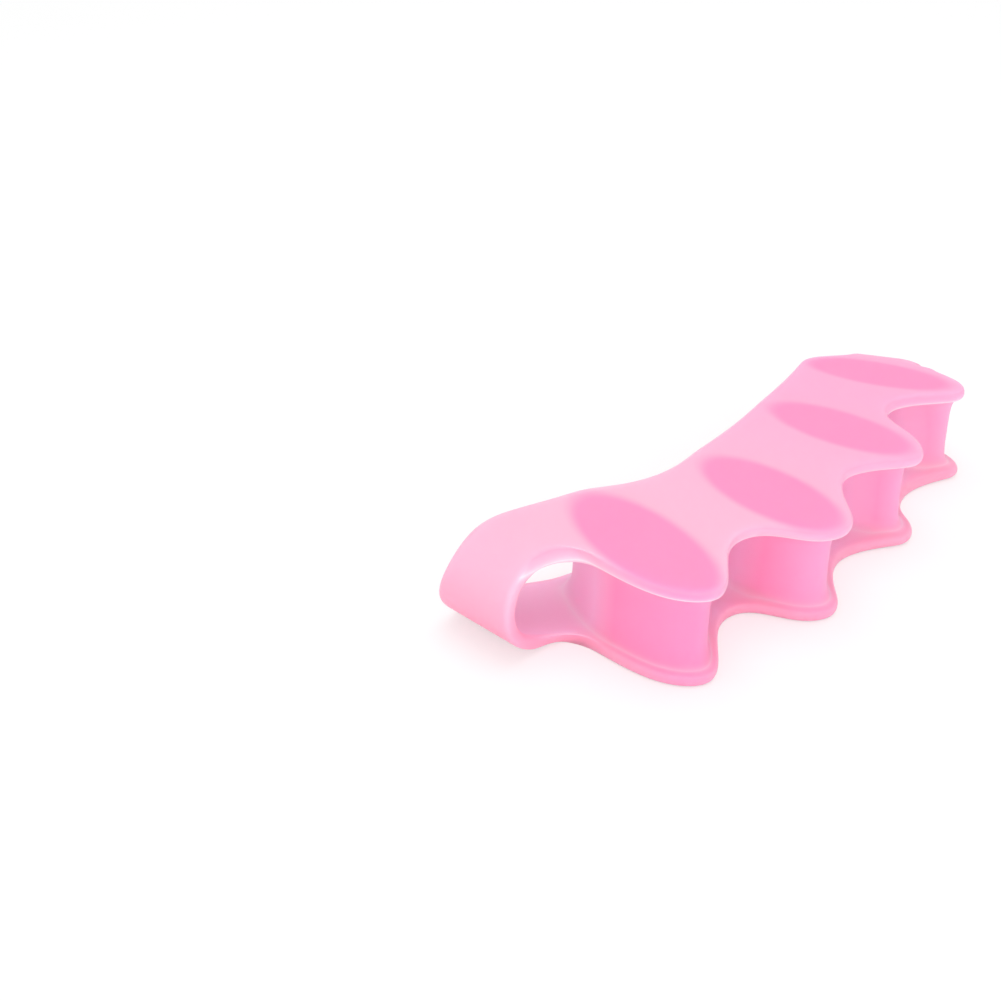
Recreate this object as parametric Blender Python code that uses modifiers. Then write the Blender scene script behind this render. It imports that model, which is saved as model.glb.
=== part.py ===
"""A gel toe separator for one foot, moulded in one piece.

Two thin plates lie one above the other. Four oval posts stand between them, and a wall at each end carries
the upper plate round into the lower one. That leaves five openings in a row: a loop for the big toe at -X,
three gaps between the posts, and a loop for the small toe at +X. The front edges of the plates, at -Y, are
scalloped: a lobe round the end of each post and a notch between two lobes. The back edges run straighter.

The body is a coarse cage smoothed by a Subdivision Surface. The cage is a ladder seen from the front, with
the five openings left out, drawn back through the depth of the part in layers. Every corner of it gets its
place from the sizes below. Lengths are in metres, Z is up, and the part stands on Z = 0.
"""

import math
from collections import namedtuple

import bmesh
import bpy
from mathutils import Vector

NAME = "toe_separator"
MM = 0.001

HEIGHT = 19.2 * MM
PLATE = 2.3 * MM
LOOP_WALL = 2.3 * MM
FILLET = 1.9 * MM

# Main sizes in the plan: from the middle of one post to the next, the length and the width of a common post,
# and how far the plates stand out round it. The four tables below give their lengths as multiples of these.
TOE_PITCH = 26.0 * MM
POST_LENGTH = 29.0 * MM
POST_WIDTH = 12.0 * MM
FLANGE = 2.8 * MM

# Posts from the big toe to the small toe. x and y give the middle, turn is how far the front end swings
# towards the big toe, in degrees, and back is how far the plates run on behind the post. The last two say how
# far the front lobes of the upper and of the lower plate stand out round it.
Post = namedtuple("Post", "x y length width turn back flange_top flange_low")
POSTS = (
    Post(
        -1.473 * TOE_PITCH, 0.252 * POST_LENGTH, 1.141 * POST_LENGTH, 1.217 * POST_WIDTH, 16.4,
        0.143 * FLANGE, 0.714 * FLANGE, 0.62 * FLANGE,
    ),
    Post(
        -0.427 * TOE_PITCH, 0.01 * POST_LENGTH, 0.959 * POST_LENGTH, 1.083 * POST_WIDTH, 8.0,
        1.089 * FLANGE, 1.036 * FLANGE, 0.679 * FLANGE,
    ),
    Post(
        0.646 * TOE_PITCH, 0.107 * POST_LENGTH, 0.928 * POST_LENGTH, 0.933 * POST_WIDTH, -4.4,
        0.929 * FLANGE, 1.036 * FLANGE, 0.929 * FLANGE,
    ),
    Post(
        1.558 * TOE_PITCH, 0.286 * POST_LENGTH, 0.966 * POST_LENGTH, 0.75 * POST_WIDTH, -20.1,
        0.321 * FLANGE, 0.571 * FLANGE, 1.0 * FLANGE,
    ),
)

# The plates' edges between two neighbouring posts: how deep the front edge runs in behind their ends, on the
# upper and on the lower plate, and how far the back edge dips in front of the line between their back edges.
Gap = namedtuple("Gap", "notch_top notch_low dip")
GAPS = (
    Gap(0.221 * POST_LENGTH, 0.276 * POST_LENGTH, 1.071 * FLANGE),
    Gap(0.179 * POST_LENGTH, 0.138 * POST_LENGTH, 0.179 * FLANGE),
    Gap(0.283 * POST_LENGTH, 0.083 * POST_LENGTH, 0.071 * FLANGE),
)

# End loops, measured from the middle of the end post. reach is how far out the wall stands, shoulder is how
# far its rounded section runs in from there, and lean moves its back end outwards. The front edge of the
# plates turns from the post to the loop at the crook, and their back edge at the heel. The other four say
# where the rims of the wall lie on the upper and on the lower plate.
Loop = namedtuple(
    "Loop",
    "reach shoulder lean crook_out crook_y front_top front_low back_top back_low heel_out heel_y",
)
BIG_TOE_LOOP = Loop(
    reach=0.904 * TOE_PITCH, shoulder=0.442 * TOE_PITCH, lean=-0.038 * TOE_PITCH,
    crook_out=0.327 * TOE_PITCH, crook_y=0.19 * POST_LENGTH,
    front_top=0.335 * POST_LENGTH, front_low=0.29 * POST_LENGTH,
    back_top=0.817 * POST_LENGTH, back_low=0.952 * POST_LENGTH,
    heel_out=0.017 * TOE_PITCH, heel_y=0.679 * POST_LENGTH,
)
SMALL_TOE_LOOP = Loop(
    reach=0.612 * TOE_PITCH, shoulder=0.262 * TOE_PITCH, lean=-0.2 * TOE_PITCH,
    crook_out=0.369 * TOE_PITCH, crook_y=-0.248 * POST_LENGTH,
    front_top=-0.1 * POST_LENGTH, front_low=-0.141 * POST_LENGTH,
    back_top=0.362 * POST_LENGTH, back_low=0.386 * POST_LENGTH,
    heel_out=-0.092 * TOE_PITCH, heel_y=0.479 * POST_LENGTH,
)

GEL_PINK = (0.94, 0.42, 0.62, 1.0)

# The cage. Its rows go up from the floor, and its layers run back from the plates' front edge, with the posts
# between two of them. Each post has five lines of corners across it: its two sides, two quarter lines and its
# long axis. A plate's edge has a second line RIM behind it, which keeps it round, and smoothing draws that
# edge in by EDGE_PULL and a round form in by CAGE_SPREAD.
FLOOR, LOW_FACE, LOW_FILLET, MIDDLE, TOP_FILLET, TOP_FACE, TOP = range(7)
WALL_ANGLES = {FLOOR: -66, LOW_FACE: -46, LOW_FILLET: -23, MIDDLE: 0, TOP_FILLET: 23, TOP_FACE: 46, TOP: 66}
INNER_ANGLES = {LOW_FACE: -66, LOW_FILLET: -33, MIDDLE: 0, TOP_FILLET: 33, TOP_FACE: 66}
FRONT_OF_POST, BACK_OF_POST, LAYERS = 1, 5, 7
RIM = 1.6 * MM
EDGE_PULL = 0.7 * MM
CAGE_SPREAD = 1.025
LEAST_TURN, MOST_TURN, BACK_TURN = 36, 84, 36
HEEL_SHARE = 0.3
ACROSS_POST = 6
FIRST_POST_LINE = 2
LAST_MID_LINE = FIRST_POST_LINE + ACROSS_POST * len(POSTS)
LAST_LINE = LAST_MID_LINE + 2


def heights():
    """The height of each row of corners, from the floor to the top."""
    return (0.0, PLATE, PLATE + FILLET, HEIGHT / 2, HEIGHT - PLATE - FILLET, HEIGHT - PLATE, HEIGHT)


def along(start, end, share):
    return start + (end - start) * share


def upper_share(row):
    """0 on the lower plate, 1 on the upper one, and between them by height."""
    return heights()[row] / HEIGHT


def oval(post, angle, grow):
    """A point round a post, grown outwards. The angle runs from its front end towards the small toe."""
    a = math.radians(angle)
    across = (post.width / 2 * CAGE_SPREAD + grow) * math.sin(a)
    deep = -(post.length / 2 * CAGE_SPREAD + grow) * math.cos(a)
    t = math.radians(post.turn)
    return Vector((post.x + across * math.cos(t) + deep * math.sin(t),
                   post.y - across * math.sin(t) + deep * math.cos(t)))


def loop_of(side):
    return BIG_TOE_LOOP if side < 0 else SMALL_TOE_LOOP


def gap_beside(number, side):
    """The gap on one side of a post, or None where that side faces an end loop."""
    gap = number - 1 if side < 0 else number
    return gap if 0 <= gap < len(GAPS) else None


def notch_y(gap, share):
    """How far back a notch reaches, from the mean of the two post ends beside it."""
    ends = (oval(POSTS[gap], 0, 0.0).y + oval(POSTS[gap + 1], 0, 0.0).y) / 2
    return ends + along(GAPS[gap].notch_low, GAPS[gap].notch_top, share)


def first_turn(number, side, share):
    """The angle round a post up to which the plate's front edge follows it, before it leaves for the notch."""
    post = POSTS[number]
    gap = gap_beside(number, side)
    leaves_y = post.y + loop_of(side).crook_y if gap is None else notch_y(gap, share)
    level = (post.y - leaves_y) / (post.length / 2 * math.cos(math.radians(post.turn)))
    turn = math.degrees(math.acos(max(-1.0, min(1.0, level))))
    return max(LEAST_TURN, min(MOST_TURN, turn))


def round_post(number, side, part, layer, share, grow):
    """A corner round a post: part is 0 on its long axis, 0.5 on a quarter line and 1 on its side line."""
    front = first_turn(number, side, share) * part
    back = 180 - BACK_TURN * part
    angle = along(front, back, (layer - FRONT_OF_POST) / (BACK_OF_POST - FRONT_OF_POST))
    return oval(POSTS[number], angle * side, grow)


def lobe(number, side, share, part=1.0):
    """A plate's edge round the front end of a post, at its side line or at a part of the way to it."""
    post = POSTS[number]
    grow = along(post.flange_low, post.flange_top, share) + EDGE_PULL
    return oval(post, first_turn(number, side, share) * side * part, grow)


def notch(gap, share):
    """The middle of a plate's front edge between two posts."""
    before = lobe(gap, 1, share)
    after = lobe(gap + 1, -1, share)
    deep = notch_y(gap, share) * 1.5 - (before.y + after.y) * 0.25
    return Vector(((before.x + after.x) / 2, deep + EDGE_PULL))


def heel(number):
    """A plate's back edge straight behind a post."""
    return oval(POSTS[number], 180, POSTS[number].back + EDGE_PULL)


def loop_heel(number, side):
    """Where a plate's back edge turns from an end post to its loop."""
    loop, post = loop_of(side), POSTS[number]
    return Vector((post.x + side * loop.heel_out, post.y + loop.heel_y))


def back_edge(number, side, share):
    """A plate's back edge, a share of the way from a post's heel to the next heel.

    Beside an end loop it reaches the loop's heel at HEEL_SHARE.
    """
    gap = gap_beside(number, side)
    if gap is None:
        return heel(number).lerp(loop_heel(number, side), share / HEEL_SHARE)
    point = heel(number).lerp(heel(number + side), share)
    point.y -= GAPS[gap].dip * math.sin(math.pi * share)
    return point


def layered(front, back, layer):
    """A point between two edges, with the first and the last step only RIM deep."""
    if layer in (0, LAYERS):
        return front if layer == 0 else back
    step = (back - front).normalized() * RIM
    return along(front + step, back - step, (layer - 1) / (LAYERS - 2))


def plate_corner(number, side, part, layer, share):
    """A corner of a plate over or beyond a post, with part as for a corner round the post."""
    if layer == 0:
        return lobe(number, side, share, part)
    if layer == LAYERS:
        return back_edge(number, side, HEEL_SHARE * part)
    if layer > BACK_OF_POST:
        edge = back_edge(number, side, HEEL_SHARE * part)
        foot = round_post(number, side, part, BACK_OF_POST, share, FILLET / 2)
        return edge.lerp(foot, min(0.5, RIM / (foot - edge).length))
    if part == 1 or layer in (FRONT_OF_POST, BACK_OF_POST):
        return round_post(number, side, part, layer, share, FILLET / 2)
    front = round_post(number, side, 0, FRONT_OF_POST, share, FILLET / 2)
    back = round_post(number, side, 0, BACK_OF_POST, share, FILLET / 2)
    axis = front.lerp(back, (layer - FRONT_OF_POST) / (BACK_OF_POST - FRONT_OF_POST))
    return axis.lerp(round_post(number, side, 1, layer, share, FILLET / 2), part)


def post_corner(number, side, part, layer, row):
    """A corner on one of a post's five lines, in any row."""
    share = upper_share(row)
    if row in (FLOOR, LOW_FACE, TOP_FACE, TOP):
        return plate_corner(number, side, part, layer, share)
    return round_post(number, side, part, layer, share, 0.0)


def wall_corner(loop, line, row):
    """How far out a corner of an end loop's wall stands from its post, and how high.

    line is 0 for the middle of the opening, 1 for the inside of the wall and 2 for its outside. The section
    of the wall is half an oval, as high as the part.
    """
    out, z = loop.reach - loop.shoulder, heights()[row]
    if line == 2:
        angle = math.radians(WALL_ANGLES[row])
        out += loop.shoulder * math.cos(angle) * CAGE_SPREAD
        z = HEIGHT / 2 * (1 + math.sin(angle) * CAGE_SPREAD)
    elif line == 1 and row in INNER_ANGLES:
        angle = math.radians(INNER_ANGLES[row])
        out += (loop.shoulder - LOOP_WALL) * math.cos(angle) * CAGE_SPREAD
        z = HEIGHT / 2 + (HEIGHT / 2 - PLATE) * math.sin(angle) * CAGE_SPREAD
    return out, z


def loop_corner(number, side, line, layer, row):
    """A corner of an end loop: side is -1 at the big toe's end and 1 at the small toe's."""
    loop, post = loop_of(side), POSTS[number]
    share = upper_share(row)
    out, z = wall_corner(loop, line, row)
    front = Vector((post.x + side * out, post.y + along(loop.front_low, loop.front_top, share)))
    back = Vector((post.x + side * (out + loop.lean), post.y + along(loop.back_low, loop.back_top, share)))
    plan = layered(front, back, layer)
    if line == 0 and layer == 0:
        plan = Vector((post.x + side * loop.crook_out, post.y + loop.crook_y))
    elif line == 0:
        plan = (plan + plate_corner(number, side, 1, layer, share)) / 2
    return Vector((plan.x, plan.y, z))


def corner(line, layer, row):
    """Where one corner of the ladder goes: its line across, its layer from front to back, its row upwards."""
    if line <= FIRST_POST_LINE:
        return loop_corner(0, -1, FIRST_POST_LINE - line, layer, row)
    if line >= LAST_MID_LINE:
        return loop_corner(len(POSTS) - 1, 1, line - LAST_MID_LINE, layer, row)
    number, place = divmod(line - FIRST_POST_LINE, ACROSS_POST)
    if place == 0:
        share = upper_share(row)
        plan = layered(notch(number - 1, share), back_edge(number - 1, 1, 0.5), layer)
    else:
        across = place - ACROSS_POST // 2
        plan = post_corner(number, -1 if across < 0 else 1, abs(across) / 2, layer, row)
    return Vector((plan.x, plan.y, heights()[row]))


def is_opening(line, row):
    """Whether the ladder's cell to the right of a line and above a row is one of the toe openings."""
    beside_mid = (line - FIRST_POST_LINE) % ACROSS_POST in (0, ACROSS_POST - 1)
    return LOW_FACE <= row < TOP_FACE and beside_mid and FIRST_POST_LINE - 1 <= line <= LAST_MID_LINE


def is_post(face):
    """Whether a face of the ladder is the end of a post, between the plates."""
    middle = face.calc_center_median()
    between_plates = LOW_FACE < middle.z < TOP_FACE
    return between_plates and FIRST_POST_LINE < middle.x < LAST_MID_LINE


def drawn(cage, faces, step, keep_old=False):
    """Extrudes faces by one layer, backwards or forwards, and returns the new ones."""
    grown = bmesh.ops.extrude_face_region(cage, geom=faces)["geom"]
    if not keep_old:
        bmesh.ops.delete(cage, geom=faces, context="FACES")
    moved = [item for item in grown if isinstance(item, bmesh.types.BMVert)]
    bmesh.ops.translate(cage, verts=moved, vec=(0, step, 0))
    return [item for item in grown if isinstance(item, bmesh.types.BMFace)]


def ladder_cage():
    """The ladder as a flat grid with its openings deleted, extruded layer by layer, and each corner placed.

    It starts at the front ends of the posts. Beyond both ends of the posts only the plates and the walls go
    on, one layer at the front and two at the back.
    """
    cage = bmesh.new()
    bmesh.ops.create_grid(cage, x_segments=LAST_LINE, y_segments=TOP, size=0.5)
    for vert in cage.verts:
        across, up = round((vert.co.x + 0.5) * LAST_LINE), round((vert.co.y + 0.5) * TOP)
        vert.co = Vector((across, FRONT_OF_POST, up))
    openings = []
    for face in cage.faces:
        middle = face.calc_center_median()
        if is_opening(math.floor(middle.x), math.floor(middle.z)):
            openings.append(face)
    bmesh.ops.delete(cage, geom=openings, context="FACES")
    front = cage.faces[:]
    back = drawn(cage, front, 1, keep_old=True)
    for _ in range(FRONT_OF_POST + 1, BACK_OF_POST):
        back = drawn(cage, back, 1)
    back = [face for face in back if not is_post(face)]
    for _ in range(BACK_OF_POST, LAYERS):
        back = drawn(cage, back, 1)
    drawn(cage, [face for face in front if not is_post(face)], -1)
    for vert in cage.verts:
        vert.co = corner(round(vert.co.x), round(vert.co.y), round(vert.co.z))
    bmesh.ops.recalc_face_normals(cage, faces=cage.faces[:])
    mesh = bpy.data.meshes.new(NAME)
    cage.to_mesh(mesh)
    cage.free()
    return mesh


def gel():
    """Soft translucent pink silicone gel."""
    material = bpy.data.materials.new("pink_gel")
    material.use_nodes = True
    shader = material.node_tree.nodes["Principled BSDF"]
    shader.inputs["Base Color"].default_value = GEL_PINK
    shader.inputs["Roughness"].default_value = 0.35
    shader.inputs["Metallic"].default_value = 0.0
    shader.inputs["Subsurface Weight"].default_value = 0.4
    shader.inputs["Subsurface Radius"].default_value = (0.006, 0.002, 0.003)
    material.diffuse_color = GEL_PINK
    return material


def smooth(body):
    soft = body.modifiers.new("soft_form", "SUBSURF")
    soft.levels = 1
    soft.render_levels = 1


def centre_on_origin(body):
    """Moves the mesh so that the smoothed part stands on Z = 0 with the middle of its box over the origin."""
    shape = body.evaluated_get(bpy.context.evaluated_depsgraph_get()).to_mesh()
    lowest = Vector([min(vert.co[axis] for vert in shape.vertices) for axis in range(3)])
    highest = Vector([max(vert.co[axis] for vert in shape.vertices) for axis in range(3)])
    middle = (lowest + highest) / 2
    for vert in body.data.vertices:
        vert.co -= Vector((middle.x, middle.y, lowest.z))


def main():
    for old in list(bpy.data.objects):
        bpy.data.objects.remove(old, do_unlink=True)
    parts = bpy.data.collections.new("toe_separator_parts")
    bpy.context.scene.collection.children.link(parts)
    body = bpy.data.objects.new(NAME, ladder_cage())
    parts.objects.link(body)
    body.data.materials.append(gel())
    body.data.shade_smooth()
    smooth(body)
    centre_on_origin(body)


main()
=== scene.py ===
"""A soft pink gel toe separator, lying on a pale floor.

The gel is one closed surface. Its coarse form is a ladder of blocks, seen from the front: two thin plates,
four oval posts between them and a rounded wall at each end, drawn back through the depth. Three whole-number
coordinates name each corner of the ladder (line across, layer back, row up), and every place is worked out
from them as whole numpy arrays. Subdivision then makes the form round. Sizes are in millimetres and are
brought to metres at the end.
"""

import bpy
import numpy as np
from mathutils import Matrix, Vector


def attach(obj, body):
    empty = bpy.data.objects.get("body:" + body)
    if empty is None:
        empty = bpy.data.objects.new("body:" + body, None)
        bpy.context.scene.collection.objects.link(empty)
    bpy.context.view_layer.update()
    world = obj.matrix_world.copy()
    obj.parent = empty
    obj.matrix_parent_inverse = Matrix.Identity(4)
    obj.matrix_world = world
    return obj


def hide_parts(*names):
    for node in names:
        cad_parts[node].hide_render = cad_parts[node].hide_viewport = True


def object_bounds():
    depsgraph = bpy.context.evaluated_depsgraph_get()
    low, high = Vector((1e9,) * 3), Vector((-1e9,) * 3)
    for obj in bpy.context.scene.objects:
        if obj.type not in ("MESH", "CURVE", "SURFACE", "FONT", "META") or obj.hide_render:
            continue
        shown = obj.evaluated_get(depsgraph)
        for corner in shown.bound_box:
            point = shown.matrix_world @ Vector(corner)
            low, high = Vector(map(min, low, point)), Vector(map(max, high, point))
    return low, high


MM = 0.001

# The gel body, in millimetres.
HEIGHT = 19.2
PLATE = 2.3
LOOP_WALL = 2.3
FILLET = 1.9

# Main sizes in the plan, which the tables below multiply.
PITCH, LENGTH, WIDTH, FLANGE = 26.0, 29.0, 12.0, 2.8

# One column for each post, from the big toe to the small toe.
POST_X = PITCH * np.array([-1.473, -0.427, 0.646, 1.558])
POST_Y = LENGTH * np.array([0.252, 0.01, 0.107, 0.286])
POST_LENGTH = LENGTH * np.array([1.141, 0.959, 0.928, 0.966])
POST_WIDTH = WIDTH * np.array([1.217, 1.083, 0.933, 0.75])
POST_TURN = np.radians([16.4, 8.0, -4.4, -20.1])
POST_BACK = FLANGE * np.array([0.143, 1.089, 0.929, 0.321])
FLANGE_TOP = FLANGE * np.array([0.714, 1.036, 1.036, 0.571])
FLANGE_LOW = FLANGE * np.array([0.62, 0.679, 0.929, 1.0])

# One column for each gap between two posts.
NOTCH_TOP = LENGTH * np.array([0.221, 0.179, 0.283])
NOTCH_LOW = LENGTH * np.array([0.276, 0.138, 0.083])
BACK_DIP = FLANGE * np.array([1.071, 0.179, 0.071])

# Two columns: the big toe's loop and the small toe's loop.
LOOP_SIDE = np.array([-1.0, 1.0])
LOOP_REACH = PITCH * np.array([0.904, 0.612])
LOOP_SHOULDER = PITCH * np.array([0.442, 0.262])
LOOP_LEAN = PITCH * np.array([-0.038, -0.24])
CROOK_OUT = PITCH * np.array([0.327, 0.369])
CROOK_Y = LENGTH * np.array([0.19, -0.248])
RIM_FRONT_TOP = LENGTH * np.array([0.335, -0.1])
RIM_FRONT_LOW = LENGTH * np.array([0.29, -0.141])
RIM_BACK_TOP = LENGTH * np.array([0.817, 0.335])
RIM_BACK_LOW = LENGTH * np.array([0.952, 0.362])
CORNER_ROUND = PITCH * np.array([0.0, 0.073])
HEEL_OUT = PITCH * np.array([0.017, -0.092])
HEEL_Y = LENGTH * np.array([0.679, 0.479])

# The ladder's rows: floor, the lower plate's face, the top of its fillet, the middle, and the same upwards.
ROW_HEIGHT = np.array(
    [0.0, PLATE, PLATE + FILLET, HEIGHT / 2, HEIGHT - PLATE - FILLET, HEIGHT - PLATE, HEIGHT])
ROW_SHARE = ROW_HEIGHT / HEIGHT
LOW_FACE, TOP_FACE = 1, 5
PLATE_ROWS = np.array([0, 1, 5, 6])

# Angles up a loop's wall, outside and inside, row by row. On the inside the first and the last row lie on the
# outer face of the plates, where the angle isn't used.
OUTER_ANGLE = np.radians([-66.0, -46.0, -23.0, 0.0, 23.0, 46.0, 66.0])
INNER_ANGLE = np.radians([0.0, -66.0, -33.0, 0.0, 33.0, 66.0, 0.0])

# The ladder's layers, from the front: a post runs from the first of these to the last.
FIRST_LAYER, LAST_LAYER, BACK_LAYER = 1, 5, 7
LINES, LAYERS, ROWS = 29, 8, 7

# The ladder's lines: three for a loop, five for each post with one in the gap after it, and three for a loop.
LOOP_LINES, POST_LINES, POST_STEP = 3, 5, 6
END_POSTS = np.array([0, 3])

# Depth of a rim in millimetres, how far smoothing draws an edge in, and how much it draws a round form in.
RIM, EDGE_PULL, SPREAD = 1.6, 0.7, 1.025

# Least and most turn of a lobe's side round its post, and the turn of its back, in degrees.
LEAST_TURN, MOST_TURN, BACK_TURN = 36.0, 84.0, 36.0
HEEL_SHARE = 0.3
SMOOTHINGS = 3

# The gel's colours: thin gel low down, thin gel on the upper plate at the big toe, painted paler there as
# though the front lamp lit it more, and at the small toe, the posts, its cloudiness, a painted highlight
# along its edges, its deeper rims and painted light for the light that comes through it into the gaps.
THIN_LOW, THIN_TOP_PAINTED_LIT, THIN_FAR = (1.0, 0.35, 0.50, 1.0), (1.0, 0.475, 0.62, 1.0), (1.0, 0.395, 0.60, 1.0)
THICK, CLOUD, EDGE_PAINTED_HIGHLIGHT = (1.0, 0.28, 0.52, 1.0), (1.0, 0.45, 0.66, 1.0), (1.0, 0.78, 0.86, 1.0)
RIM_DEEP, INNER_LIGHT = (1.0, 0.33, 0.50, 1.0), (1.0, 0.64, 0.86, 1.0)

# Heights in metres between which the lower plate's colour turns into the upper plate's, and between which the
# ovals move aside, and the run in metres along X over which the upper plate's painted light fades from the
# paler big toe's colour to the small toe's.
COLOUR_RISE, ASIDE_RISE, PAINTED_LIGHT_RUN = (0.0035, 0.0165), (0.0165, 0.0185), (-0.04, 0.045)

# Through the upper plate each post seems to stand this many millimetres towards the big toe and the front,
# and the two by the small toe seem a little shorter. A post's colour fades in between two multiples of its
# size.
SHADE_ASIDE = np.array([[1.3, 1.3, 0.0], [0.9, 0.9, 0.0], [0.8, 0.3, 0.0], [0.6, -0.7, 0.0]])
SHADE_LENGTH = np.array([1.0, 1.0, 0.97, 0.9])
SHADE_FADE = (1.26, 0.94)

# How much of the painted light in the gaps the faces of the three smaller posts get.
FACE_GLOW = 0.25

# How strong the white is that the camera sees the floor as, and the width of the photograph in pixels.
FLOOR_WHITE = 1.06
PHOTO_WIDTH = 1001


def blend(start, end, share):
    """A share of the way from the start to the end."""
    return start + (end - start) * share


def round_post(angle, grow):
    """Points round oval posts: half width times the sine of the angle across, half length times its cosine
    forwards, both grown, then turned with the post and moved to its middle. Posts run along the first axis.
    """
    def column(values):
        return values.reshape((-1,) + (1,) * (np.ndim(angle) - 1))

    across = (column(POST_WIDTH) / 2 * SPREAD + grow) * np.sin(np.radians(angle))
    deep = -(column(POST_LENGTH) / 2 * SPREAD + grow) * np.cos(np.radians(angle))
    turn = column(POST_TURN)
    x = column(POST_X) + across * np.cos(turn) + deep * np.sin(turn)
    y = column(POST_Y) - across * np.sin(turn) + deep * np.cos(turn)
    return np.stack([x, y], axis=-1)


def notch_depth():
    """How far back each notch reaches in each row: behind the mean of the two post ends beside it."""
    tip = round_post(np.zeros(4), 0.0)[:, 1]
    ends = (tip[:-1] + tip[1:]) / 2
    return ends[:, None] + blend(NOTCH_LOW[:, None], NOTCH_TOP[:, None], ROW_SHARE)


def edge_turn():
    """The angle up to which a plate's front edge follows each post, for its left and right side and each row.

    It is the angle at which the side of the post is level with the notch, or with the crook of a loop.
    """
    notch = notch_depth()
    crook = np.repeat((POST_Y[END_POSTS] + CROOK_Y)[:, None], ROWS, axis=1)
    left = np.concatenate([crook[:1], notch])
    right = np.concatenate([notch, crook[1:]])
    level = POST_Y[:, None, None] - np.stack([left, right], axis=1)
    level /= (POST_LENGTH / 2 * np.cos(POST_TURN))[:, None, None]
    return np.clip(np.degrees(np.arccos(np.clip(level, -1.0, 1.0))), LEAST_TURN, MOST_TURN)


def back_targets():
    """Where each post's back edge heads for on its left and right: the next heel, or past a loop's own."""
    heel = round_post(np.full(4, 180.0), POST_BACK + EDGE_PULL)
    turn = np.stack([POST_X[END_POSTS] + LOOP_SIDE * HEEL_OUT, POST_Y[END_POSTS] + HEEL_Y], axis=-1)
    beyond = blend(heel[END_POSTS], turn, 1 / HEEL_SHARE)
    left = np.concatenate([beyond[:1], heel[:-1]])
    right = np.concatenate([heel[1:], beyond[1:]])
    dip = np.stack([np.append(0.0, BACK_DIP), np.append(BACK_DIP, 0.0)], axis=1)
    return heel, np.stack([left, right], axis=1), dip


def back_edge(share, side):
    """Points on the plates' back edge: a share of the way from a post's heel to its target, less a dip that
    follows half a sine.
    """
    heel, target, dip = back_targets()
    point = blend(heel[:, None], target[:, side], share[:, None])
    point[..., 1] -= dip[:, side] * np.sin(np.pi * share)
    return point


def layered(front, back):
    """All eight layers between a front and a back edge: the first and last step are one RIM deep, and the
    others share what is left evenly.
    """
    step = (back - front) / np.linalg.norm(back - front, axis=-1, keepdims=True) * RIM
    share = (np.arange(LAYERS) - 1.0) / (BACK_LAYER - 2)
    inner = blend((front + step)[..., None, :], (back - step)[..., None, :], share[:, None])
    inner[..., 0, :] = front
    inner[..., BACK_LAYER, :] = back
    return inner


def post_lines():
    """The plan of the five lines across each post: posts, lines, layers, rows, (x, y).

    Between the plates a corner lies on the post's oval. In the plates it lies on the oval grown by the
    fillet on the side lines, and evenly in between on the others. The first layer is the lobe round the
    post, and the last two are the back edge and a line one RIM before it.
    """
    across = np.arange(-2, 3)
    part, side, sign = np.abs(across) / 2, (across > 0).astype(int), np.where(across < 0, -1.0, 1.0)
    start = edge_turn()[:, side] * part[:, None]
    depth = (np.arange(LAYERS) - FIRST_LAYER) / (LAST_LAYER - FIRST_LAYER)
    finish = (180 - BACK_TURN * part)[None, :, None]
    angle = start[:, :, None] + (finish - start)[:, :, None] * depth[:, None]
    angle = angle * sign[:, None, None]
    oval = round_post(angle, 0.0)
    foot = round_post(angle, FILLET / 2)
    front, back = foot[:, 2:3, FIRST_LAYER:FIRST_LAYER + 1], foot[:, 2:3, LAST_LAYER:LAST_LAYER + 1]
    axis = blend(front, back, depth[:, None, None])
    beside = foot[:, np.where(across < 0, 0, 4)]
    plate = blend(axis, beside, part[:, None, None, None])
    plate[:, :, [FIRST_LAYER, LAST_LAYER]] = foot[:, :, [FIRST_LAYER, LAST_LAYER]]
    plate[:, [0, 4]] = foot[:, [0, 4]]
    flange = blend(FLANGE_LOW[:, None], FLANGE_TOP[:, None], ROW_SHARE) + EDGE_PULL
    plate[:, :, 0] = round_post(start * sign[:, None], flange[:, None])
    edge = back_edge(HEEL_SHARE * part, side)[:, :, None]
    plate[:, :, BACK_LAYER] = edge
    span = np.linalg.norm(plate[:, :, LAST_LAYER] - edge, axis=-1, keepdims=True)
    plate[:, :, LAST_LAYER + 1] = blend(edge, plate[:, :, LAST_LAYER], np.minimum(0.5, RIM / span))
    places = oval.copy()
    places[..., PLATE_ROWS, :] = plate[..., PLATE_ROWS, :]
    return places


def gap_lines(post):
    """The plan of the line in the middle of each gap: gaps, layers, rows, (x, y).

    Its front lies midway between the lines beside it, at one and a half times the notch's depth less half of
    their mean depth, because smoothing draws it back towards them.
    """
    before, after = post[:-1, 4, 0], post[1:, 0, 0]
    front = (before + after) / 2
    front[..., 1] = notch_depth() * 1.5 - (before[..., 1] + after[..., 1]) / 4 + EDGE_PULL
    back = back_edge(np.array([0.5]), np.array([1]))[:-1]
    plan = layered(front, np.broadcast_to(back, front.shape))
    return np.swapaxes(plan, 1, 2)


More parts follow.
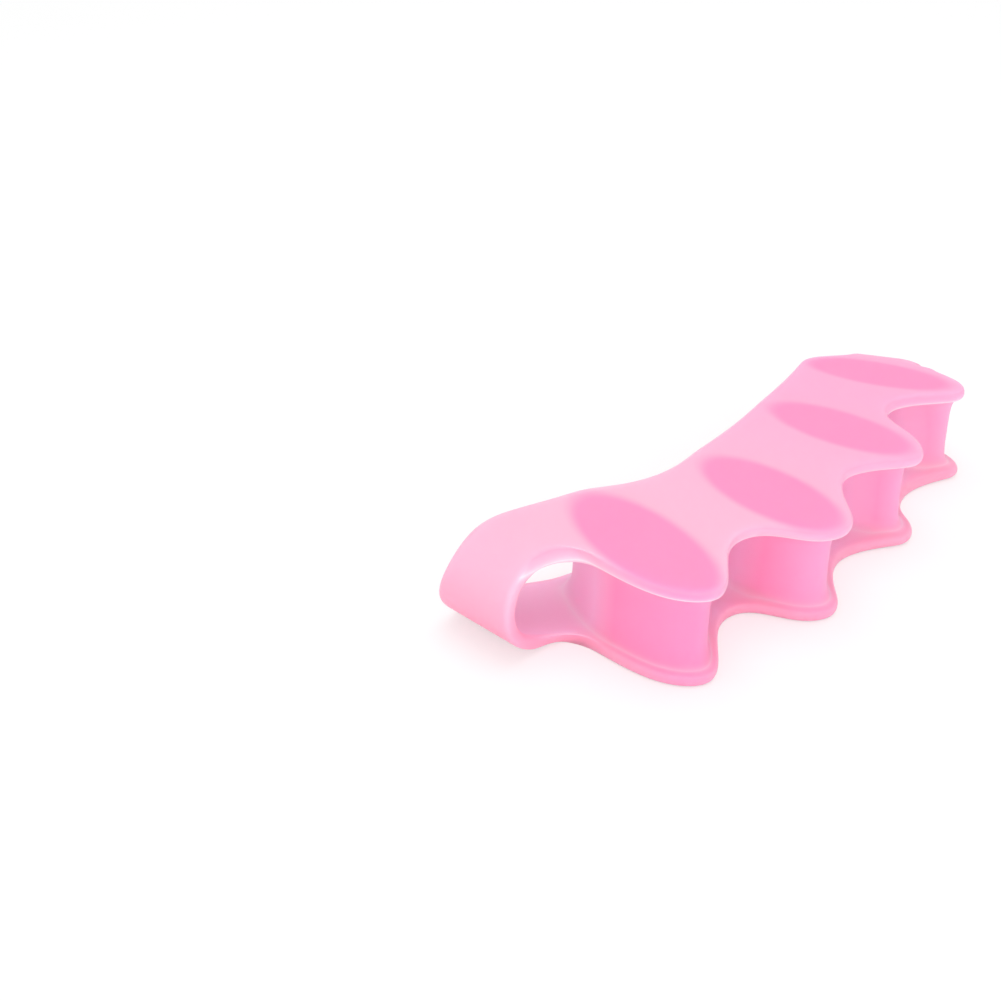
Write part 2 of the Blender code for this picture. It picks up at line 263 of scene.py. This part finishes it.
def loop_lines(post):
    """The places of the three lines of each end loop: loops, lines, layers, rows, (x, y, z).

    The first line runs beside the post, the second on the inside of the wall, the third on its outside. The
    wall's section is half an oval: out by the shoulder times a cosine, up and down by half the height times
    a sine. Its rims lie at their own depths on the upper and on the lower plate. At the front the wall rounds
    off above its middle: it pulls in by twice the share of the height above the middle, and by half of that
    in the next layer.
    """
    rise = HEIGHT / 2
    inner = np.isin(np.arange(ROWS), [0, ROWS - 1])
    flat_out = LOOP_REACH - LOOP_SHOULDER
    outside = flat_out[:, None] + LOOP_SHOULDER[:, None] * np.cos(OUTER_ANGLE) * SPREAD
    inside = flat_out[:, None] + (LOOP_SHOULDER - LOOP_WALL)[:, None] * np.cos(INNER_ANGLE) * SPREAD
    inside = np.where(inner, flat_out[:, None], inside)
    out = np.stack([np.repeat(flat_out[:, None], ROWS, axis=1), inside, outside], axis=1)
    inside_z = np.where(inner, ROW_HEIGHT, rise + (rise - PLATE) * np.sin(INNER_ANGLE) * SPREAD)
    outside_z = rise * (1 + np.sin(OUTER_ANGLE) * SPREAD)
    height = np.stack([ROW_HEIGHT, inside_z, outside_z])
    x, y = POST_X[END_POSTS][:, None, None], POST_Y[END_POSTS][:, None, None]
    side = LOOP_SIDE[:, None, None]
    front_y = y + blend(RIM_FRONT_LOW[:, None, None], RIM_FRONT_TOP[:, None, None], ROW_SHARE)
    back_y = y + blend(RIM_BACK_LOW[:, None, None], RIM_BACK_TOP[:, None, None], ROW_SHARE)
    front = np.stack(np.broadcast_arrays(x + side * out, front_y), axis=-1)
    back = np.stack(np.broadcast_arrays(x + side * (out + LOOP_LEAN[:, None, None]), back_y), axis=-1)
    plan = np.swapaxes(layered(front, back), 2, 3)
    pulled = (LOOP_SIDE * CORNER_ROUND)[:, None, None, None] * np.clip(2 * ROW_SHARE - 1, 0, 1)
    plan[:, 1:, :2, :, 0] -= pulled * np.array([1.0, 0.5])[:, None]
    beside = np.stack([post[0, 0], post[3, 4]])
    plan[:, 0] = (plan[:, 0] + beside) / 2
    crook = np.stack([POST_X[END_POSTS] + LOOP_SIDE * CROOK_OUT, POST_Y[END_POSTS] + CROOK_Y], axis=-1)
    plan[:, 0, 0] = crook[:, None]
    z = np.broadcast_to(height[None, :, None, :, None], plan.shape[:-1] + (1,))
    return np.concatenate([plan, z], axis=-1)


def ladder_places():
    """The place of every corner: lines, layers, rows, (x, y, z)."""
    post = post_lines()
    loop = loop_lines(post)
    gap = gap_lines(post)
    plan = np.zeros((LINES, LAYERS, ROWS, 3))
    plan[..., 2] = ROW_HEIGHT
    for number in range(4):
        first = LOOP_LINES + POST_STEP * number
        plan[first:first + POST_LINES, ..., :2] = post[number]
    plan[LOOP_LINES + POST_LINES:-LOOP_LINES - 1:POST_STEP, ..., :2] = gap
    plan[:LOOP_LINES] = loop[0, ::-1]
    plan[-LOOP_LINES:] = loop[1]
    return plan


def ladder_blocks():
    """Which of the cells between the corners are gel: lines, layers, rows."""
    line, layer, row = np.indices((LINES - 1, LAYERS - 1, ROWS - 1))
    between = (row >= LOW_FACE) & (row < TOP_FACE)
    inner = (line >= 1) & (line < LINES - 2)
    beside_gap = np.isin((line - LOOP_LINES + 1) % POST_STEP, [0, POST_STEP - 1])
    opening = between & inner & beside_gap
    post = between & inner & ~beside_gap
    beyond = (layer < FIRST_LAYER) | (layer >= LAST_LAYER)
    return ~opening & ~(post & beyond)


def block_faces(blocks):
    """The quads between gel and air, as corner numbers, wound so that they face outwards."""
    corner = np.arange(LINES * LAYERS * ROWS).reshape(LINES, LAYERS, ROWS)
    padded = np.pad(blocks, 1)
    faces = []
    for axis in range(3):
        u, v = (axis + 1) % 3, (axis + 2) % 3
        for outward in (-1, 1):
            air = ~np.roll(padded, -outward, axis=axis)[1:-1, 1:-1, 1:-1]
            cell = np.argwhere(blocks & air)
            cell[:, axis] += outward > 0
            ring = []
            for du, dv in ((0, 0), (1, 0), (1, 1), (0, 1))[::outward]:
                at = cell.copy()
                at[:, u] += du
                at[:, v] += dv
                ring.append(corner[tuple(at.T)])
            faces.append(np.stack(ring, axis=1))
    return np.concatenate(faces)


def rim_lines():
    """Four marks for every corner, each 1 on its line and fading to 0 at the next corner: a painted highlight
    along the lower edge of the upper plate's front, a painted highlight on the ring where a post's foot meets
    the lower plate, the plates' back edge with the upper plate's upper front edge, and painted light on the
    faces of the gaps, with a share on the three smaller posts.
    """
    line, layer, row = np.indices((LINES, LAYERS, ROWS))
    # The lower edge of the upper plate's front, which carries a painted highlight.
    edge = (layer == 0) & (row == TOP_FACE)
    place = (line - LOOP_LINES + 1) % POST_STEP
    on_post = (line >= LOOP_LINES) & (line < LINES - LOOP_LINES) & (place > 0)
    side = np.isin(place, [1, POST_LINES])
    flank = side & (layer >= FIRST_LAYER) & (layer <= LAST_LAYER)
    ring = on_post & (flank | np.isin(layer, [FIRST_LAYER, LAST_LAYER]))
    # The ring round a post's foot, which carries a painted highlight.
    foot = ring & (row == LOW_FACE)
    rim = (layer == BACK_LAYER) | ((layer == 0) & (row == ROWS - 1))
    between = (row >= LOW_FACE) & (row <= TOP_FACE) & (layer < BACK_LAYER)
    between &= (line > 0) & (line < LINES - 1)
    gap = between & (layer > np.where(on_post, FIRST_LAYER, 0))
    face = between & on_post & (layer == FIRST_LAYER) & (line > LOOP_LINES + POST_LINES)
    return {"edge_painted_highlight": edge, "foot_painted_highlight": foot, "rim_line": rim, "inner_glow": gap + FACE_GLOW * face}


def add_gel_body():
    """Builds the ladder's faces with their marks, rounds them by subdivision and makes that the mesh."""
    faces = block_faces(ladder_blocks())
    used, faces = np.unique(faces, return_inverse=True)
    faces = faces.reshape(-1, 4)
    places = ladder_places().reshape(-1, 3)[used] * MM
    mesh = bpy.data.meshes.new("gel_body")
    mesh.from_pydata(places, [], faces.tolist())
    for name, mark in rim_lines().items():
        values = mesh.attributes.new(name, "FLOAT", "POINT")
        values.data.foreach_set("value", mark.reshape(-1)[used].astype(np.float32))
    body = bpy.data.objects.new("gel_body", mesh)
    bpy.context.scene.collection.objects.link(body)
    soft = body.modifiers.new("soft_form", "SUBSURF")
    soft.levels = soft.render_levels = SMOOTHINGS
    evaluated = body.evaluated_get(bpy.context.evaluated_depsgraph_get())
    body.data = bpy.data.meshes.new_from_object(evaluated)
    body.modifiers.clear()
    body.data.name = "gel_body"
    body.data.shade_smooth()
    return body


def settle_in(body, box):
    """Moves the mesh so that the middle of its box lies over the middle of the CAD box, on the same floor.

    Finer smoothing bulges out a little further than the CAD's, so the plan shrinks by the ratio of the two
    boxes. Returns that ratio and the move, which take a place in the plan to its place in the model.
    """
    co = np.zeros(len(body.data.vertices) * 3)
    body.data.vertices.foreach_get("co", co)
    co = co.reshape(-1, 3)
    low, high = np.array(box[0]), np.array(box[1])
    ratio = np.minimum((high - low) / (co.max(axis=0) - co.min(axis=0)), 1.0)
    move = (low + high) / 2 - (co.min(axis=0) + co.max(axis=0)) / 2 * ratio
    move[2] = low[2] - co[:, 2].min() * ratio[2]
    body.data.vertices.foreach_set("co", (co * ratio + move).ravel())
    body.data.update()
    return ratio, move


def linked(tree, kind, inputs=(), **settings):
    """Adds a shader node, sets its properties and links or sets its inputs by number or name."""
    node = tree.nodes.new(kind)
    for key, value in settings.items():
        setattr(node, key, value)
    for key, value in inputs:
        if isinstance(value, bpy.types.NodeSocket):
            tree.links.new(value, node.inputs[key])
        else:
            node.inputs[key].default_value = value
    return node


def mixed(tree, factor, first, second):
    """A colour that goes from the first to the second with the factor."""
    node = tree.nodes.new("ShaderNodeMix")
    node.data_type = "RGBA"
    for socket, value in ((node.inputs[0], factor), (node.inputs[6], first), (node.inputs[7], second)):
        if isinstance(value, bpy.types.NodeSocket):
            tree.links.new(value, socket)
        else:
            socket.default_value = value
    return node.outputs[2]


def stepped(tree, value, ends, kind):
    """0 up to the first end and 1 from the second on, with a linear or a smooth step between them."""
    return linked(
        tree, "ShaderNodeMapRange", [(0, value), (1, ends[0]), (2, ends[1]), (3, 0.0), (4, 1.0)],
        interpolation_type=kind,
    ).outputs[0]


def post_shade(tree, where, over, number, ratio, move):
    """1 over and under a post, fading to 0 in a soft band round its oval: the length of the place in the
    post's own turned and scaled frame, run through a smooth step. On the upper plate the oval moves aside.
    """
    where = linked(
        tree, "ShaderNodeVectorMath", [(0, over), (1, tuple(SHADE_ASIDE[number] * MM)), (2, where)],
        operation="MULTIPLY_ADD",
    ).outputs[0]
    half_width = POST_WIDTH[number] / 2 * MM
    half_length = POST_LENGTH[number] / 2 * SHADE_LENGTH[number] * MM
    endless = 1000.0
    middle = np.array([POST_X[number], POST_Y[number], 0.0]) * MM * ratio + move
    middle[2] = 0.0
    turn, half = (0.0, 0.0, -POST_TURN[number]), (half_width, half_length, endless)
    local = linked(
        tree, "ShaderNodeMapping", [(0, where), (1, tuple(middle)), (2, turn), (3, half)],
        vector_type="TEXTURE",
    )
    away = linked(tree, "ShaderNodeVectorMath", [(0, local.outputs[0])], operation="LENGTH")
    return stepped(tree, away.outputs["Value"], SHADE_FADE, "SMOOTHSTEP")


def gel_material(ratio, move):
    """Translucent pink gel: pale where it is thin, deeper over and in the posts, warm on the lower plate,
    with painted light that lightens the gaps, deeper rims and a painted highlight line along the upper plate
    and round the posts' feet. The upper plate is painted paler towards the big toe, as though lit more there.
    """
    material = bpy.data.materials.new("pink_gel")
    material.use_nodes = True
    tree = material.node_tree
    shader = tree.nodes["Principled BSDF"]
    where = tree.nodes.new("ShaderNodeTexCoord").outputs["Object"]
    across, _, height = linked(tree, "ShaderNodeSeparateXYZ", [(0, where)]).outputs
    over = stepped(tree, height, ASIDE_RISE, "LINEAR")
    deep = post_shade(tree, where, over, 0, ratio, move)
    for number in range(1, 4):
        shade = post_shade(tree, where, over, number, ratio, move)
        deep = linked(tree, "ShaderNodeMath", [(0, deep), (1, shade)], operation="MAXIMUM").outputs[0]
    upper = stepped(tree, height, COLOUR_RISE, "SMOOTHSTEP")
    # Painted light: the upper plate grows deeper from the big toe to the small toe, as though the front lamp
    # lit the big toe's end more.
    painted_falloff = stepped(tree, across, PAINTED_LIGHT_RUN, "SMOOTHSTEP")
    thin = mixed(tree, upper, THIN_LOW, mixed(tree, painted_falloff, THIN_TOP_PAINTED_LIT, THIN_FAR))
    colour = mixed(tree, deep, thin, THICK)
    cloudy = linked(
        tree, "ShaderNodeTexNoise",
        [("Vector", where), ("Scale", 60.0), ("Detail", 2.0), ("Roughness", 0.4)],
    )
    faint = linked(tree, "ShaderNodeMath", [(0, cloudy.outputs[0]), (1, 0.12)], operation="MULTIPLY")
    colour = mixed(tree, faint.outputs[0], colour, CLOUD)
    # Painted light: the gaps are lightened as though light came through the gel into them, and painted
    # highlights run along the upper plate's lower front edge and round the posts' feet.
    for name, power, strength, shade in (
        ("inner_glow", 1.0, 0.6, INNER_LIGHT),
        ("rim_line", 2.5, 0.6, RIM_DEEP),
        ("edge_painted_highlight", 5.0, 0.9, EDGE_PAINTED_HIGHLIGHT),
        ("foot_painted_highlight", 4.0, 0.35, EDGE_PAINTED_HIGHLIGHT),
    ):
        mark = linked(tree, "ShaderNodeAttribute", attribute_name=name).outputs["Fac"]
        sharp = linked(tree, "ShaderNodeMath", [(0, mark), (1, power)], operation="POWER").outputs[0]
        factor = linked(tree, "ShaderNodeMath", [(0, sharp), (1, strength)], operation="MULTIPLY").outputs[0]
        colour = mixed(tree, factor, colour, shade)
    tree.links.new(colour, shader.inputs["Base Color"])
    shader.inputs["Roughness"].default_value = 0.5
    shader.inputs["Specular IOR Level"].default_value = 0.25
    shader.inputs["Subsurface Weight"].default_value = 0.7
    shader.inputs["Subsurface Radius"].default_value = (0.7, 0.8, 0.8)
    shader.inputs["Subsurface Scale"].default_value = 0.005
    grain = linked(
        tree, "ShaderNodeTexNoise",
        [("Vector", where), ("Scale", 420.0), ("Detail", 3.0), ("Roughness", 0.5)],
    )
    bump = linked(
        tree, "ShaderNodeBump", [("Height", grain.outputs[0]), ("Strength", 0.12), ("Distance", 0.0002)])
    tree.links.new(bump.outputs[0], shader.inputs["Normal"])
    return material


def add_floor():
    """A wide pale floor just under the part, which the camera sees half as its own even white."""
    size, under = 3.0, 0.05 * MM
    mesh = bpy.data.meshes.new("floor")
    corners = size * np.array([[-1, -1, 0], [1, -1, 0], [1, 1, 0], [-1, 1, 0]]) - [0, 0, under]
    mesh.from_pydata(corners, [], [(0, 1, 2, 3)])
    floor = bpy.data.objects.new("floor", mesh)
    bpy.context.scene.collection.objects.link(floor)
    material = bpy.data.materials.new("pale_floor")
    material.use_nodes = True
    tree = material.node_tree
    shader = tree.nodes["Principled BSDF"]
    shader.inputs["Base Color"].default_value = (0.93, 0.93, 0.93, 1.0)
    shader.inputs["Roughness"].default_value = 0.9
    shader.inputs["Specular IOR Level"].default_value = 0.1
    rays = tree.nodes.new("ShaderNodeLightPath")
    share = linked(
        tree, "ShaderNodeMath", [(0, rays.outputs["Is Camera Ray"]), (1, 0.5)], operation="MULTIPLY")
    white = linked(tree, "ShaderNodeEmission", [(0, (1.0, 1.0, 1.0, 1.0)), (1, FLOOR_WHITE)])
    both = linked(
        tree, "ShaderNodeMixShader", [(0, share.outputs[0]), (1, shader.outputs[0]), (2, white.outputs[0])])
    tree.links.new(both.outputs[0], tree.nodes["Material Output"].inputs["Surface"])
    mesh.materials.append(material)


def add_light(name, place, aim, size, power):
    """A round soft lamp, its places and size in metres and its power in watts."""
    lamp = bpy.data.lights.new(name, "AREA")
    lamp.shape = "DISK"
    lamp.size = size
    lamp.energy = power
    light = bpy.data.objects.new(name, lamp)
    bpy.context.scene.collection.objects.link(light)
    light.location = place
    light.rotation_euler = (Vector(aim) - Vector(place)).to_track_quat("-Z", "Y").to_euler()


def light_the_studio():
    """An even pale world, plain white to the camera, in gloss and through glass, and two soft lamps."""
    world = bpy.data.worlds.new("studio")
    bpy.context.scene.world = world
    world.use_nodes = True
    tree = world.node_tree
    background = tree.nodes["Background"]
    rays = tree.nodes.new("ShaderNodeLightPath")
    seen = rays.outputs["Is Camera Ray"]
    for ray in ("Is Glossy Ray", "Is Transmission Ray"):
        seen = linked(
            tree, "ShaderNodeMath", [(0, seen), (1, rays.outputs[ray])], operation="MAXIMUM").outputs[0]
    strength = linked(tree, "ShaderNodeMapRange", [(0, seen), (1, 0.0), (2, 1.0), (3, 0.8), (4, 1.0)])
    background.inputs["Color"].default_value = (1.0, 1.0, 1.0, 1.0)
    tree.links.new(strength.outputs[0], background.inputs["Strength"])
    add_light("overhead", (0.05, 0.05, 0.75), (0.0, 0.0, 0.0), 0.7, 1.6)
    add_light("front", (-0.5, -0.5, 0.2), (0.0, 0.0, 0.01), 0.6, 2.0)


def set_camera(move):
    """The photograph's viewpoint: 327 mm from the point on the floor that it looks at, 31.6 degrees above the
    horizon, turned 48.9 degrees round the part and rolled by half a degree. The part stands to the right of
    that point and a little nearer. The focus is in pixels.
    """
    up, turn, roll = np.radians(31.57), np.radians(48.88), np.radians(0.503)
    distance, focus = 326.6 * MM, 1690.2
    to_right, nearer = 54.251 * MM, 18.413 * MM
    look = Vector((0.0, np.cos(up), -np.sin(up)))
    right = Vector((1.0, 0.0, 0.0))
    top = Vector((0.0, np.sin(up), np.cos(up)))
    rolled = (right * np.cos(roll) + top * np.sin(roll), top * np.cos(roll) - right * np.sin(roll))
    seen = Matrix((*rolled, -look)).transposed().to_4x4()
    seen.translation = -look * distance
    table = Matrix.Translation((to_right, -nearer, 0.0)) @ Matrix.Rotation(turn, 4, "Z")
    plan = table @ Matrix.Translation((-move[0], -move[1], 0.0))
    lens = bpy.data.cameras.new("camera")
    lens.sensor_width = 36.0
    lens.lens = focus * lens.sensor_width / PHOTO_WIDTH
    lens.clip_start = 0.01
    camera = bpy.data.objects.new("camera", lens)
    bpy.context.scene.collection.objects.link(camera)
    camera.matrix_world = plan.inverted() @ seen
    bpy.context.scene.camera = camera


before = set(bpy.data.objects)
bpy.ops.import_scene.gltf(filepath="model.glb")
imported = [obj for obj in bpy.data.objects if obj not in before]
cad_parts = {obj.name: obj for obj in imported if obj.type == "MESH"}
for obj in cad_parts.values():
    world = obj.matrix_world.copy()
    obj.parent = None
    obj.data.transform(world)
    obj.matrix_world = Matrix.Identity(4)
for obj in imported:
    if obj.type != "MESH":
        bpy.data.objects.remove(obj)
cad_box = [list(corner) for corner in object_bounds()]

body = add_gel_body()
ratio, move = settle_in(body, cad_box)
body.data.materials.append(gel_material(ratio, move))
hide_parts("toe_separator")
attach(body, "root")

add_floor()
light_the_studio()
set_camera(move)
bpy.context.scene.view_settings.view_transform = "Standard"
